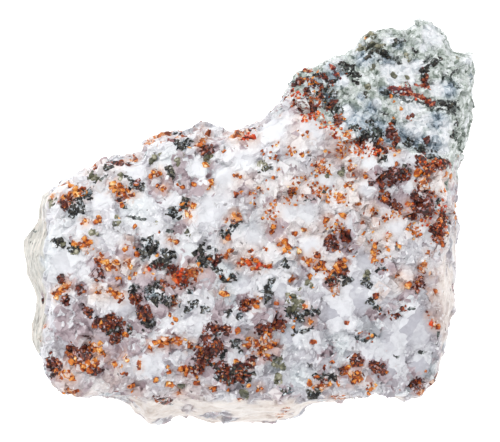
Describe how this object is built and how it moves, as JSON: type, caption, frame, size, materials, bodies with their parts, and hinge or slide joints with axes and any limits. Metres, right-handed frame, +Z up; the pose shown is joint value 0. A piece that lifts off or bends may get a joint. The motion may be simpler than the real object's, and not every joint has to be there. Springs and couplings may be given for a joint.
{
  "type": "rough rock",
  "caption": "Hand-sized lump of coarse granular rock, broken all round, with a broad rugged face, a raised corner and a flat patch that it lies on.",
  "frame": {"origin": "on the resting surface, under the middle of the rock's bounding box", "axes": "+X along the rock's longest side, +Z up through its thickness, from the resting facet to the broad face"},
  "size_m": [0.0916, 0.0822, 0.0381],
  "materials": {
    "pale_crystal_rock": "rough broken crystal faces, white to pale lilac grey, slightly translucent",
    "orange_grains": "small glassy orange to rust-brown grains",
    "dark_red_grains": "small glassy dark red-brown grains",
    "dark_flakes": "black-green flakes with a glint",
    "grey_green_grains": "fine-grained grey-green crystals"
  },
  "bodies": {
    "root": {"rough_rock": "pale_crystal_rock"}
  },
  "joints": []
}
